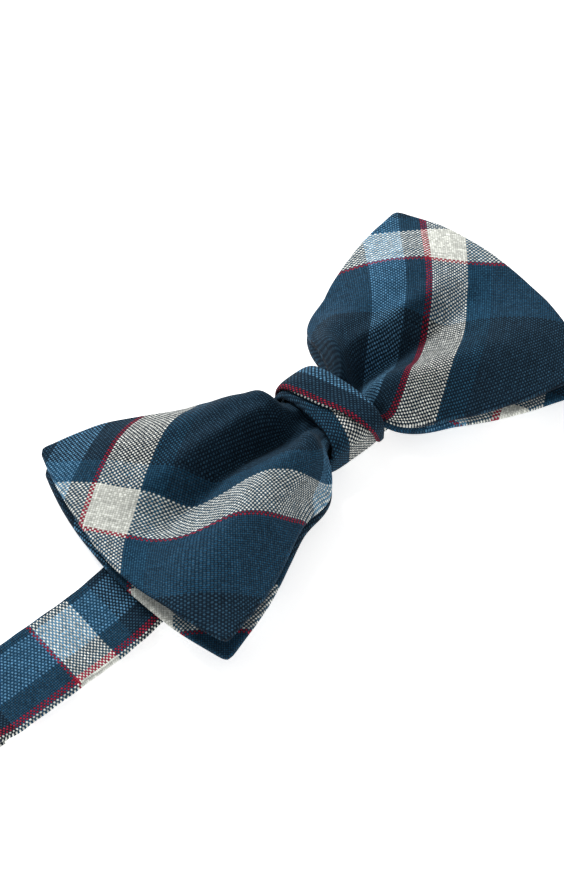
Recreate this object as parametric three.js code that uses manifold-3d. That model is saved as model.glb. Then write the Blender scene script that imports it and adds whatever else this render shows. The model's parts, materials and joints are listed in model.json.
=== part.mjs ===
// Pre-tied bow tie lying on its back, with its neckband unhooked and both ends swept to one side.
// Millimetres. +X is the wearer-facing right wing, +Y is the bow's upper edge, +Z is up.
// The origin is on the table, under the middle of the knot.

import * as THREE from "three";
import Module from "manifold-3d";

const wasm = await Module();
wasm.setup();

// ---- driving dimensions ------------------------------------------------------------------

// Bow: two butterfly blades, one on the other, pinched at the middle.
const LEFT_REACH = 59;            // pinch to the left wing's corners
const LEFT_BELLY = 5.9;           // how far the left wing's end bows out past its corners
const RIGHT_REACH = 55;
const RIGHT_BELLY = 8;
const WING_HALF_HEIGHT = 34;
const PINCH_HALF_HEIGHT = 8.4;    // the blades' half height where the thread gathers them
const CLOTH = 0.4;                // one layer of cotton in a blade
const BLADE_LINING = 0.25;        // the interlining between the cotton layers
const LAYER_PITCH = 0.65;         // from the middle of one layer to the next
const BLADE_GAP = 0.4;            // between the two blades at the pinch
const INTERLINING_INSET = 0.03;   // share of the blade that the interlining stops short by

// Neckband: a flat sewn sleeve with interlining in it.
const BAND_WIDTH = 20;
const BAND_THICKNESS = 1.5;
const BAND_WALL = 0.4;
const BAND_LINING = 0.3;
const BAND_EDGE = 0.7;            // depth of the sleeve's rounded side folds
const FOLD_X = 36;                // where the band turns back under the right wing
const SWAY = -7.2;                // sideways shift of the band beyond the left wing
const SWAY_START = -22;
const SWAY_END = -78;
const TUNNEL_HALF_LENGTH = 18;    // straight stretch of band that the knot slides on
const RAMP_LENGTH = 14;

// Knot.
const KNOT_WIDTH = 16;
const KNOT_CENTRE_Y = 0.2;
const WRAP_CLOTH = 1;
const WRAP_CROWN = 0.5;           // how far the wrap swells at the middle of its width
const OVERLAP_CLOTH = 0.8;
const PADDING = 0.4;
const THREAD = 0.4;               // gathering thread diameter
const THREAD_TURNS = 2;
const STITCH = 0.35;              // closing stitch diameter
const SEAM_GAP = 1.8;             // between the wrap's two ends, at the back
const THREAD_SLACK = 0.4;         // air under the thread, over the blades' crown
const THREAD_SIDE_SLACK = 0.45;   // the same at the blades' folded edges
const THREAD_UNDER_SLACK = 0.27;  // and between the thread, the rear blade and the band
const THREAD_PITCH = 1.2;         // from one turn of the thread to the next
const CROWN_WAIST = 2.4;          // how far the wrap's left edge is drawn in at the crown
const PADDING_INSET = 0.8;        // wrap's edge to padding's edge
const CROWN_POWER = 3;            // squareness of the loops at the front
const BACK_POWER = 12;            // and at the back, where the band lies flat in them

// Metal hardware.
const WIRE = 1.3;
const HOOK_BAR = 1.5;
const RAIL = 1.4;                 // thickness of the slider's and hook's side rails
const SIDE_GAP = 0.6;             // band edge to side rail
const SLIDER_LENGTH = 12.4;
const SLIDER_BAR = 1;
const EYE_BAR_X = -122;
const EYE_LENGTH = 9.5;
const SLIDER_X = -188;
const HOOK_BAR_X = -208;
const HOOK_PLATE_LENGTH = 6;
const HOOK_TONGUE_WIDTH = 7;
const HOOK_TONGUE_LENGTH = 6;
const SHEET_METAL = 1;
const TONGUE_METAL = 0.98;         // rolled a little thinner than the plate it starts in
const TAB_CLOTH = 0.8;
const TAB_LENGTH = 11;            // slider's middle bar to the tab's sewn end
const TAB_TURN_UNDER = 3.2;       // and to the end that is folded under
const TAB_SEAM = 8.5;             // middle bar to the row of stitches
const TAB_SIDE_INSET = 0.4;
const TAIL_STOP = 4;              // the tail ends this far short of the slider's middle bar
const SLIDER_BAR_DROP = 0.565;    // middle bar's distance under the gap's middle
const TONGUE_TURN = 1.4;          // radius of the hook tongue's return
const HEM_LENGTH = 15;            // the hem behind the eye
const HEM_SEAM = 6;
const EYE_RUN = 8;                // band runs level this far past the eye's bar, then ramps down
const EYE_RAMP = 12;
const RISE_CLEARANCE = 3.5;       // eye's end to where the lower layer starts to rise
const SEAM_THREAD = 0.5;

const GAP = 0.3;                  // clearance between pieces that lie on each other

// ---- sizes that follow -------------------------------------------------------------------

const halfBand = BAND_WIDTH / 2;
const halfThickness = BAND_THICKNESS / 2;
const lowerBandZ = halfThickness;
const upperBandZ = BAND_THICKNESS + GAP + halfThickness;
const wrapBottomZ = BAND_THICKNESS + 0.4;
const tunnelZ = wrapBottomZ + WRAP_CLOTH + GAP + halfThickness;
const tunnelTopZ = tunnelZ + halfThickness;
const halfBlade = LAYER_PITCH + CLOTH / 2;
const rearSeatZ = tunnelTopZ + THREAD + 2 * THREAD_UNDER_SLACK + halfBlade;
const frontSeatZ = rearSeatZ + 2 * halfBlade + BLADE_GAP;
const turnRadius = (BAND_THICKNESS + WIRE) / 2 + GAP;
const hookTurnRadius = (BAND_THICKNESS + HOOK_BAR) / 2 + GAP + 0.05;
const tailZ = halfThickness;
const hookBarZ = tailZ + hookTurnRadius;
const upperRunZ = tailZ + 2 * hookTurnRadius;
const eyeBarZ = upperBandZ + turnRadius;
const eyeRunZ = upperBandZ + 2 * turnRadius;

// ---- small tools -------------------------------------------------------------------------

const V = (x, y, z) => new THREE.Vector3(x, y, z);
const smooth = (t) => t * t * (3 - 2 * t);
const clamp01 = (t) => Math.min(1, Math.max(0, t));
const range = (count) => Array.from({ length: count }, (_, i) => i);

function body(points, triangles) {
  let volume = 0;
  for (const [a, b, c] of triangles) {
    volume += points[a].dot(points[b].clone().cross(points[c]));
  }
  const faces = volume < 0 ? triangles.map(([a, b, c]) => [a, c, b]) : triangles;
  const geometry = new THREE.BufferGeometry().setFromPoints(points);
  geometry.setIndex(faces.flat());
  geometry.computeVertexNormals();
  return geometry;
}

// Closed sheet between two grids of points with the same rows and columns.
function sheetBody(upper, lower) {
  const rows = upper.length;
  const cols = upper[0].length;
  const points = [...upper.flat(), ...lower.flat()];
  const top = (i, j) => i * cols + j;
  const under = (i, j) => rows * cols + i * cols + j;
  const faces = [];
  const quad = (a, b, c, d) => faces.push([a, b, c], [a, c, d]);
  for (let i = 0; i + 1 < rows; i++) {
    for (let j = 0; j + 1 < cols; j++) {
      quad(top(i, j), top(i, j + 1), top(i + 1, j + 1), top(i + 1, j));
      quad(under(i, j), under(i + 1, j), under(i + 1, j + 1), under(i, j + 1));
    }
    quad(top(i, 0), top(i + 1, 0), under(i + 1, 0), under(i, 0));
    quad(top(i + 1, cols - 1), top(i, cols - 1), under(i, cols - 1), under(i + 1, cols - 1));
  }
  for (let j = 0; j + 1 < cols; j++) {
    quad(top(0, j + 1), top(0, j), under(0, j), under(0, j + 1));
    quad(top(rows - 1, j), top(rows - 1, j + 1), under(rows - 1, j + 1), under(rows - 1, j));
  }
  return body(points, faces);
}

// Solid through a row of closed rings; with inner rings it is an open-ended sleeve.
function ringBody(outer, inner) {
  const count = outer.length;
  const side = outer[0].length;
  const points = inner ? [...outer.flat(), ...inner.flat()] : outer.flat();
  const at = (layer, i, j) => layer * count * side + i * side + (j % side);
  const faces = [];
  const quad = (a, b, c, d) => faces.push([a, b, c], [a, c, d]);
  for (let i = 0; i + 1 < count; i++) {
    for (let j = 0; j < side; j++) {
      quad(at(0, i, j), at(0, i, j + 1), at(0, i + 1, j + 1), at(0, i + 1, j));
      if (inner) quad(at(1, i, j), at(1, i + 1, j), at(1, i + 1, j + 1), at(1, i, j + 1));
    }
  }
  for (const i of [0, count - 1]) {
    const turn = i === 0 ? (a, b, c) => faces.push([a, c, b]) : (a, b, c) => faces.push([a, b, c]);
    for (let j = 0; j < side; j++) {
      if (inner) {
        turn(at(0, i, j), at(0, i, j + 1), at(1, i, j + 1));
        turn(at(0, i, j), at(1, i, j + 1), at(1, i, j));
      } else if (j > 0 && j + 1 < side) {
        turn(at(0, i, 0), at(0, i, j), at(0, i, j + 1));
      }
    }
  }
  return body(points, faces);
}

// Cubic curve through given knots, each value with the slope of its neighbours.
function through(knots, values, x) {
  const last = knots.length - 1;
  const rise = (i) => (values[i + 1] - values[i]) / (knots[i + 1] - knots[i]);
  const slope = (i) => {
    if (i === 0) return rise(0);
    if (i === last) return rise(last - 1);
    const before = knots[i] - knots[i - 1];
    const after = knots[i + 1] - knots[i];
    return (after * rise(i - 1) + before * rise(i)) / (before + after);
  };
  let k = 0;
  while (k < last - 1 && x > knots[k + 1]) k++;
  const h = knots[k + 1] - knots[k];
  const t = (x - knots[k]) / h;
  const s = smooth(t);
  const leave = t * (1 - t) * (1 - t) * h * slope(k);
  const arrive = t * t * (t - 1) * h * slope(k + 1);
  return values[k] * (1 - s) + values[k + 1] * s + leave + arrive;
}

// Thread or wire of a polygon section along a smooth path.
function strand(points, diameter, sides, steps) {
  const section = new THREE.Shape();
  for (const k of range(sides)) {
    const angle = (k / sides) * 2 * Math.PI;
    const [x, y] = [Math.cos(angle) * diameter / 2, Math.sin(angle) * diameter / 2];
    if (k === 0) section.moveTo(x, y);
    else section.lineTo(x, y);
  }
  const extrudePath = new THREE.CatmullRomCurve3(points);
  return new THREE.ExtrudeGeometry(section, { steps, extrudePath, bevelEnabled: false });
}

function toSolid(geometry) {
  const merged = new Map();
  const vertices = [];
  const position = geometry.attributes.position;
  const indexOf = (i) => {
    const p = [position.getX(i), position.getY(i), position.getZ(i)];
    const key = p.map((value) => Math.round(value * 1e5)).join();
    if (!merged.has(key)) {
      merged.set(key, vertices.length / 3);
      vertices.push(...p);
    }
    return merged.get(key);
  };
  const corners = geometry.index ? Array.from(geometry.index.array) : range(position.count);
  const triVerts = corners.map(indexOf);
  const mesh = new wasm.Mesh({
    numProp: 3,
    vertProperties: new Float32Array(vertices),
    triVerts: new Uint32Array(triVerts),
  });
  return new wasm.Manifold(mesh);
}

function joined(geometries) {
  const solid = geometries.map(toSolid).reduce((sum, next) => sum.add(next));
  const mesh = solid.getMesh();
  const geometry = new THREE.BufferGeometry();
  geometry.setAttribute("position", new THREE.BufferAttribute(mesh.vertProperties, 3));
  geometry.setIndex(new THREE.BufferAttribute(mesh.triVerts, 1));
  geometry.computeVertexNormals();
  return geometry;
}

const box = (x0, x1, y0, y1, z0, z1) =>
  new THREE.BoxGeometry(x1 - x0, y1 - y0, z1 - z0)
    .translate((x0 + x1) / 2, (y0 + y1) / 2, (z0 + z1) / 2);

// Round bar along Y, centred on y = 0.
const roundBar = (x, z, diameter, length, sides = 12) =>
  new THREE.CylinderGeometry(diameter / 2, diameter / 2, length, sides).translate(x, 0, z);

// Side profile in X and Z, given a thickness along Y.
function profilePlate(corners, y0, y1) {
  const shape = new THREE.Shape(corners.map(([x, z]) => new THREE.Vector2(x, z)));
  const plate = new THREE.ExtrudeGeometry(shape, { depth: y1 - y0, bevelEnabled: false });
  return plate.rotateX(Math.PI / 2).translate(0, y1, 0);
}

const cottonNavy = (name) =>
  new THREE.MeshStandardMaterial({ name, color: "#22365a", roughness: 0.92, metalness: 0 });
const lining = (name) =>
  new THREE.MeshStandardMaterial({ name, color: "#d9d5ca", roughness: 0.95, metalness: 0 });
const thread = (name) =>
  new THREE.MeshStandardMaterial({ name, color: "#141d33", roughness: 0.7, metalness: 0 });
const plated = (name) =>
  new THREE.MeshStandardMaterial({ name, color: "#b9bcc2", roughness: 0.28, metalness: 1 });

const bowTie = new THREE.Group();

function piece(name, geometry, material) {
  const mesh = new THREE.Mesh(geometry, material(name));
  mesh.name = name;
  bowTie.add(mesh);
  return mesh;
}

// ---- blades ------------------------------------------------------------------------------

// Each blade runs from wing tip to wing tip. Across its height it folds like a letter M: lower
// edge, lower ridge, valley, upper ridge, upper edge. A station says how far out it is, as a
// share of the wing's reach, and where those five lines pass: y as shares of the wing's half
// height, z in millimetres above the blade's seat in the knot.
const FOLD_LINES = [-1, -0.55, 0, 0.55, 1];

const pinch = PINCH_HALF_HEIGHT / WING_HALF_HEIGHT;
const pinchShares = [-pinch, -0.58 * pinch, 0, 0.58 * pinch, pinch];
const mouthShares = pinchShares.map((share) => share * 1.05);
const mouthOut = (reach) => (KNOT_WIDTH / 2 + GAP) / reach;

const leftStations = [
  { along: 0, out: 0, y: pinchShares },
  { along: 0.13, out: mouthOut(LEFT_REACH), y: mouthShares },
  { along: 0.2, out: 0.2, y: [-0.45, -0.24, 0.02, 0.275, 0.465] },
  { along: 0.45, out: 0.445, y: [-0.625, -0.3, 0.04, 0.41, 0.69] },
  { along: 0.72, out: 0.715, y: [-0.85, -0.45, 0, 0.515, 0.895] },
  { along: 1, out: 1, y: [-1, -0.575, 0, 0.58, 1.005] },
];
const rightStations = [
  { along: 0, out: 0, y: pinchShares },
  { along: 0.13, out: mouthOut(RIGHT_REACH), y: mouthShares },
  { along: 0.2, out: 0.2, y: [-0.44, -0.19, 0.035, 0.3, 0.52] },
  { along: 0.45, out: 0.425, y: [-0.625, -0.315, 0.035, 0.41, 0.78] },
  { along: 0.72, out: 0.7, y: [-0.845, -0.47, -0.01, 0.475, 0.94] },
  { along: 1, out: 1, y: [-1, -0.575, 0, 0.57, 1.025] },
];

const frontLeftRise = [
  [0.2, 1.9, 0, 1.9, 0.2],
  [0.2, 3, -0.1, 3, 0.2],
  [-0.7, 7.4, -0.6, 6.9, -0.8],
  [1, 9.6, 1.2, 8.3, 0.8],
  [1.4, 7.3, -0.7, 6.6, 3],
  [3.4, 3.9, 0.8, 4, 4],
];
const frontRightRise = [
  [0.2, 1.9, 0, 1.9, 0.2],
  [0.2, 3, -0.1, 3, 0.2],
  [-0.6, 7.4, -0.8, 6.8, -0.4],
  [-0.4, 8, 0.1, 7.2, 2.1],
  [1.2, 7.1, 2.2, 7.8, 3.8],
  [3.5, 5, 4.9, 5.5, 4.5],
];
const rearRise = [
  [0.2, 1.8, 0, 1.8, 0.2],
  [0.2, 2.8, -0.1, 2.8, 0.2],
  [-0.8, 5.4, -0.5, 5.2, -0.8],
  [-1.5, 4.5, -0.6, 4.5, -1.5],
  [-2, 1.1, -0.7, 1.1, -2],
  [-2.4, -1.6, -1.8, -1.6, -2.4],
];

const LEFT = { side: -1, reach: LEFT_REACH, belly: LEFT_BELLY, stations: leftStations };
const RIGHT = { side: 1, reach: RIGHT_REACH, belly: RIGHT_BELLY, stations: rightStations };

function wingPoint(wing, rises, seatZ, along, across) {
  const knots = wing.stations.map((station) => station.along);
  const line = (row) => through(FOLD_LINES, row, across);
  const out = through(knots, wing.stations.map((station) => station.out), along);
  const y = through(knots, wing.stations.map((station) => line(station.y)), along);
  const rise = through(knots, rises.map(line), along);
  const belly = wing.belly * along ** 1.5 * (1 - across * across);
  return V(wing.side * (wing.reach * out + belly), y * WING_HALF_HEIGHT, seatZ + rise);
}

const alongSteps = [0, 0.065, 0.13, 0.165, 0.2, 0.28, 0.36, 0.45, 0.54, 0.63, 0.72, 0.81, 0.91, 1];
const acrossSteps = range(11).map((k) => k / 5 - 1);

function bladeGrid(leftRises, rightRises, seatZ, inset) {
  const trimmed = (step) => Math.sign(step) * Math.min(Math.abs(step), 1 - inset);
  const across = acrossSteps.map(trimmed);
  const row = (wing, rises, along) => {
    return across.map((step) => wingPoint(wing, rises, seatZ, trimmed(along), step));
  };
  const leftRows = alongSteps.slice(1).reverse().map((along) => row(LEFT, leftRises, along));
  const rightRows = alongSteps.map((along) => row(RIGHT, rightRises, along));
  return [...leftRows, ...rightRows];
}

const lifted = (grid, dz) => grid.map((row) => row.map((p) => V(p.x, p.y, p.z + dz)));

function bladeLayer(name, material, blade, level, thickness, inset) {
  const grid = bladeGrid(blade.left, blade.right, blade.seat, inset);
  const top = level * LAYER_PITCH + thickness / 2;
  piece(name, sheetBody(lifted(grid, top), lifted(grid, top - thickness)), material);
}

const blades = {
  front_blade: { left: frontLeftRise, right: frontRightRise, seat: frontSeatZ },
  rear_blade: { left: rearRise, right: rearRise, seat: rearSeatZ },
};
for (const [name, blade] of Object.entries(blades)) {
  bladeLayer(`${name}_face`, cottonNavy, blade, 1, CLOTH, 0);
  bladeLayer(`${name}_interlining`, lining, blade, 0, BLADE_LINING, INTERLINING_INSET);
  bladeLayer(`${name}_back`, cottonNavy, blade, -1, CLOTH, 0);
}

// ---- neckband ----------------------------------------------------------------------------

const swayAt = (x) => SWAY * smooth(clamp01((SWAY_START - x) / (SWAY_START - SWAY_END)));

// Side view of the band's middle line: from the hem behind the eye, round the eye's bar, along
// the upper layer, through the knot, round the fold, and back along the table to the hook.
function bandLine() {
  const line = new THREE.Path();
  const ramp = (x0, z0, x1, z1) => {
    const middle = (x0 + x1) / 2;
    line.bezierCurveTo(middle, z0, middle, z1, x1, z1);
  };
  const foldRadius = (tunnelZ - lowerBandZ) / 2;
  const foldZ = (tunnelZ + lowerBandZ) / 2;
  const eyeRampX = EYE_BAR_X + EYE_RUN;
  const riseX = EYE_BAR_X - EYE_LENGTH - RISE_CLEARANCE;
  line.moveTo(EYE_BAR_X + HEM_LENGTH, upperBandZ);
  line.lineTo(EYE_BAR_X, upperBandZ);
  line.absarc(EYE_BAR_X, eyeBarZ, turnRadius, -Math.PI / 2, Math.PI / 2, true);
  line.lineTo(eyeRampX, eyeRunZ);
  ramp(eyeRampX, eyeRunZ, eyeRampX + EYE_RAMP, upperBandZ);
  line.lineTo(-TUNNEL_HALF_LENGTH - RAMP_LENGTH, upperBandZ);
  ramp(-TUNNEL_HALF_LENGTH - RAMP_LENGTH, upperBandZ, -TUNNEL_HALF_LENGTH, tunnelZ);
  line.lineTo(FOLD_X, tunnelZ);
  line.absarc(FOLD_X, foldZ, foldRadius, Math.PI / 2, -Math.PI / 2, true);
  line.lineTo(riseX, lowerBandZ);
  ramp(riseX, lowerBandZ, riseX - RAMP_LENGTH, upperRunZ);
  line.lineTo(HOOK_BAR_X, upperRunZ);
  line.absarc(HOOK_BAR_X, hookBarZ, hookTurnRadius, Math.PI / 2, 1.5 * Math.PI, false);
  line.lineTo(SLIDER_X - TAIL_STOP, tailZ);
  return line.getPoints(6);
}

// Long straight stretches get more points where the band sways sideways.
function stepped(points, longest) {
  const result = [points[0]];
  for (const next of points.slice(1)) {
    const last = result[result.length - 1];
    const swaying = Math.min(last.x, next.x) < SWAY_START && Math.max(last.x, next.x) > SWAY_END;
    const parts = swaying ? Math.ceil(last.distanceTo(next) / longest) : 1;
    for (const k of range(parts)) result.push(last.clone().lerp(next, (k + 1) / parts));
  }
  return result.filter((p, k) => k === 0 || p.distanceTo(result[k - 1]) > 1e-6);
}

// Unit normals of a side-view line, stretched at its corners so that an offset keeps its distance.
function mitres(line) {
  return line.map((p, k) => {
    const before = line[Math.max(k - 1, 0)];
    const after = line[Math.min(k + 1, line.length - 1)];
    const a = (k === 0 ? after.clone().sub(p) : p.clone().sub(before)).normalize();
    const b = (k === line.length - 1 ? a.clone() : after.clone().sub(p)).normalize();
    const middle = a.clone().add(b).normalize();
    return new THREE.Vector2(-middle.y, middle.x).divideScalar(middle.dot(a));
  });
}

function bandRings(line, section) {
  const normals = mitres(line);
  return line.map((p, k) => section.map(([y, offset]) => {
    const x = p.x + normals[k].x * offset;
    return V(x, y + swayAt(p.x), p.y + normals[k].y * offset);
  }));
}

const flatHexagon = (halfWidth, halfHeight, edge) => [
  [-halfWidth, 0],
  [-halfWidth + edge, -halfHeight],
  [halfWidth - edge, -halfHeight],
  [halfWidth, 0],
  [halfWidth - edge, halfHeight],
  [-halfWidth + edge, halfHeight],
];
const flatStrip = (halfWidth, halfHeight) => [
  [-halfWidth, -halfHeight],
  [halfWidth, -halfHeight],
  [halfWidth, halfHeight],
  [-halfWidth, halfHeight],
];

// Flat strip bent along a side-view line, straight across.
function bentStrip(points, halfWidth, halfHeight) {
  const line = points.filter((p, k) => k === 0 || p.distanceTo(points[k - 1]) > 1e-6);
  const normals = mitres(line);
  return ringBody(line.map((p, k) => flatStrip(halfWidth, halfHeight).map(([y, offset]) =>
    V(p.x + normals[k].x * offset, y, p.y + normals[k].y * offset))));
}

const neckbandLine = stepped(bandLine(), 7);
const cavity = halfThickness - BAND_WALL;
piece(
  "neckband_sleeve",
  ringBody(
    bandRings(neckbandLine, flatHexagon(halfBand, halfThickness, BAND_EDGE)),
    bandRings(neckbandLine, flatHexagon(halfBand - 2 * BAND_WALL, cavity, BAND_EDGE)),
  ),
  cottonNavy,
);
piece(
  "neckband_interlining",
  ringBody(bandRings(neckbandLine, flatStrip(halfBand - BAND_EDGE - 3 * BAND_WALL, BAND_LINING / 2))),
  lining,
);

// ---- knot --------------------------------------------------------------------------------

// The knot's loops are seen along X. Each is a flat-bottomed arch: straight at the back, where
// the band runs, and a full rounded crown at the front.
const archZ = frontSeatZ - 0.6;
const bladeTopZ = frontSeatZ + frontLeftRise[0][1] + halfBlade;
const threadTopZ = bladeTopZ + THREAD / 2 + THREAD_SLACK;
const threadHalf = PINCH_HALF_HEIGHT + THREAD / 2 + THREAD_SIDE_SLACK;
const paddingInnerHalf = threadHalf + THREAD / 2 + GAP + KNOT_CENTRE_Y;
const paddingInnerTop = threadTopZ + THREAD / 2 + GAP;
const wrapInnerHalf = Math.max(paddingInnerHalf + PADDING, halfBand + KNOT_CENTRE_Y) + GAP;
const wrapInnerTop = paddingInnerTop + PADDING + GAP;

// Angle 0 is +Y, a quarter turn is the top. Below archZ the loop is a rounded corner.
function archPoint(angle, half, top, bottom, centreY) {
  const c = Math.cos(angle);
  const s = Math.sin(angle);
  const power = s > 0 ? CROWN_POWER : BACK_POWER;
  const reach = (Math.abs(c) ** power + Math.abs(s) ** power) ** (-1 / power);
  const height = s > 0 ? top - archZ : archZ - bottom;
  return new THREE.Vector2(centreY + half * c * reach, archZ + height * s * reach);
}

// Strip wound along an arch. Its edges and its swell vary with how far round it has gone.
function woundStrip(angles, loop, xEdges, thickness, crownSwell = 0) {
  const line = angles.map(loop);
  const normals = mitres(line).map((n) => n.negate());
  const widthSteps = [-1, -0.6, 0, 0.6, 1];
  const grid = (offset, crown) => line.map((p, k) => widthSteps.map((w) => {
    const [x0, x1] = xEdges(angles[k]);
    const x = (x0 + x1) / 2 + ((x1 - x0) / 2) * w;
    const d = offset + crown * (1 - (2 * x / KNOT_WIDTH) ** 2);
    return V(x, p.x + normals[k].x * d, p.y + normals[k].y * d);
  }));
  return sheetBody(grid(thickness, crownSwell), grid(0, 0));
}

const anglesFromTo = (start, end, count) => range(count + 1).map((k) => start + ((end - start) * k) / count);
// The left wing pushes the wrap's left edge in at the crown.
const wrapEdges = (angle) =>
  [-KNOT_WIDTH / 2 + CROWN_WAIST * Math.max(0, Math.sin(angle)), KNOT_WIDTH / 2];

const wrapLoop = (angle) =>
  archPoint(angle, wrapInnerHalf, wrapInnerTop, wrapBottomZ + WRAP_CLOTH, KNOT_CENTRE_Y);
const seamAngle = Math.asin(SEAM_GAP / 2 / wrapInnerHalf);
piece(
  "knot_wrap",
  woundStrip(
    anglesFromTo(-Math.PI / 2 + seamAngle, 1.5 * Math.PI - seamAngle, 44),
    wrapLoop,
    wrapEdges,
    WRAP_CLOTH,
  ),
  cottonNavy,
);

// The wrap's last turn lies slantwise over the crown, from the upper left to the lower right.
const overlapLoop = (angle) => archPoint(
  angle,
  wrapInnerHalf + WRAP_CLOTH + GAP,
  wrapInnerTop + WRAP_CLOTH + GAP,
  wrapBottomZ - GAP,
  KNOT_CENTRE_Y,
);
// How far round the knot, in half turns from +Y, and where the strip's two edges are there.
const OVERLAP_ROUND = [-0.2, 0.12, 0.32, 0.5, 0.69, 0.85, 1.2];
const OVERLAP_LEFT = [-0.875, -0.8, -0.625, -0.325, 0.1, 0.4, 0.775];
const OVERLAP_RIGHT = [0.5, 0.6125, 0.7375, 0.8875, 0.9625, 0.9875, 0.9875];
const overlapEdges = (angle) => [OVERLAP_LEFT, OVERLAP_RIGHT].map((edge) =>
  through(OVERLAP_ROUND, edge, angle / Math.PI) * KNOT_WIDTH / 2);
piece(
  "knot_overlap",
  woundStrip(
    anglesFromTo(OVERLAP_ROUND[0] * Math.PI, OVERLAP_ROUND[6] * Math.PI, 36),
    overlapLoop,
    overlapEdges,
    OVERLAP_CLOTH,
    WRAP_CROWN,
  ),
  cottonNavy,
);

const paddingEdges = (angle) => {
  const [x0, x1] = wrapEdges(angle);
  return [x0 + PADDING_INSET, x1 - PADDING_INSET];
};
piece(
  "knot_padding",
  woundStrip(
    anglesFromTo(-0.08 * Math.PI, 1.08 * Math.PI, 26),
    (angle) => archPoint(angle, paddingInnerHalf, paddingInnerTop, wrapBottomZ, KNOT_CENTRE_Y),
    paddingEdges,
    PADDING,
  ),
  lining,
);

function gatherPoint(turn) {
  const bottom = tunnelTopZ + THREAD_UNDER_SLACK + THREAD / 2;
  const p = archPoint(turn * 2 * Math.PI, threadHalf, threadTopZ, bottom, 0);
  return V((turn - THREAD_TURNS / 2) * THREAD_PITCH, p.x, p.y);
}
const threadStations = 22 * THREAD_TURNS;
const gatherPath = range(threadStations + 1).map((k) => gatherPoint(k / 22));
piece("gather_thread", strand(gatherPath, THREAD, 5, 2 * threadStations), thread);

// Ladder stitch that closes the wrap's two ends at the back of the knot.
const stitchCount = 14;
const stitchReach = SEAM_GAP / 2 - STITCH / 2 - GAP;
const stitchPath = range(stitchCount + 1).map((k) => {
  const x = (k / stitchCount - 0.5) * (KNOT_WIDTH - 2);
  return V(x, KNOT_CENTRE_Y + (k % 2 ? stitchReach : -stitchReach), wrapBottomZ + WRAP_CLOTH / 2);
});
piece("knot_closing_stitch", strand(stitchPath, STITCH, 5, 3 * stitchCount), thread);

// ---- hardware ----------------------------------------------------------------------------

const railInside = halfBand + SIDE_GAP;
const railOutside = railInside + RAIL;
const hardwareY = SWAY;

// Eye: a rectangular wire loop, hanging from the band's end onto the layer below.
const eyeDrop = Math.asin((eyeBarZ - BAND_THICKNESS - GAP - WIRE / 2) / EYE_LENGTH);
const armY = railInside + WIRE / 2;
const arm = (y) => new THREE.CylinderGeometry(WIRE / 2, WIRE / 2, EYE_LENGTH, 10)
  .rotateZ(Math.PI / 2)
  .translate(-EYE_LENGTH / 2, y, 0);
const corner = (x, y) => new THREE.SphereGeometry(WIRE / 2, 10, 6)
  .rotateX(Math.PI / 2)
  .translate(x, y, 0);
const eyeLoop = joined([
  roundBar(0, 0, WIRE, 2 * armY, 10),
  roundBar(-EYE_LENGTH, 0, WIRE, 2 * armY, 10),
  arm(armY),
  arm(-armY),
  ...[0, -EYE_LENGTH].flatMap((x) => [corner(x, armY), corner(x, -armY)]),
]);
const eye = piece("band_eye", eyeLoop, plated);
eye.position.set(EYE_BAR_X, hardwareY, eyeBarZ);
eye.rotation.y = -eyeDrop;

// Hook: a bar in the band's end, two arms, a tapered plate and a tongue turned back over it.
const plateStart = -(hookTurnRadius + halfThickness + 0.6);
const plateEnd = plateStart - HOOK_PLATE_LENGTH;
const halfSheet = SHEET_METAL / 2;
const halfTongue = HOOK_TONGUE_WIDTH / 2;
const plateShape = new THREE.Shape();
plateShape.moveTo(plateStart, -railOutside);
plateShape.lineTo(plateStart, railOutside);
plateShape.lineTo(plateStart - 2, railOutside);
plateShape.quadraticCurveTo(plateEnd, railOutside - 1, plateEnd, halfTongue);
plateShape.lineTo(plateEnd, -halfTongue);
plateShape.quadraticCurveTo(plateEnd, -railOutside + 1, plateStart - 2, -railOutside);
const plate = new THREE.ExtrudeGeometry(plateShape, {
  depth: SHEET_METAL, curveSegments: 6, bevelEnabled: false,
}).translate(0, 0, -halfSheet);

const tongueLine = new THREE.Path();
tongueLine.moveTo(plateEnd + 1, 0);
tongueLine.lineTo(plateEnd - HOOK_TONGUE_LENGTH, 0);
tongueLine.absarc(plateEnd - HOOK_TONGUE_LENGTH, TONGUE_TURN, TONGUE_TURN, 1.5 * Math.PI, Math.PI / 2, true);
tongueLine.lineTo(plateEnd - 1, 2 * TONGUE_TURN - 0.3);
const tongue = bentStrip(tongueLine.getPoints(4), halfTongue, TONGUE_METAL / 2);
const hookSolid = joined([
  roundBar(0, 0, HOOK_BAR, 2 * railOutside),
  box(plateStart - 1, 0, railInside, railOutside, -halfSheet, halfSheet),
  box(plateStart - 1, 0, -railOutside, -railInside, -halfSheet, halfSheet),
  plate,
  tongue,
]);
const hookReach = -(plateEnd - HOOK_TONGUE_LENGTH);
const hookDrop = Math.asin((hookBarZ - halfSheet - 0.35) / hookReach);
const hook = piece("band_hook", hookSolid, plated);
hook.position.set(HOOK_BAR_X, hardwareY, hookBarZ);
hook.rotation.y = -hookDrop;

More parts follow.
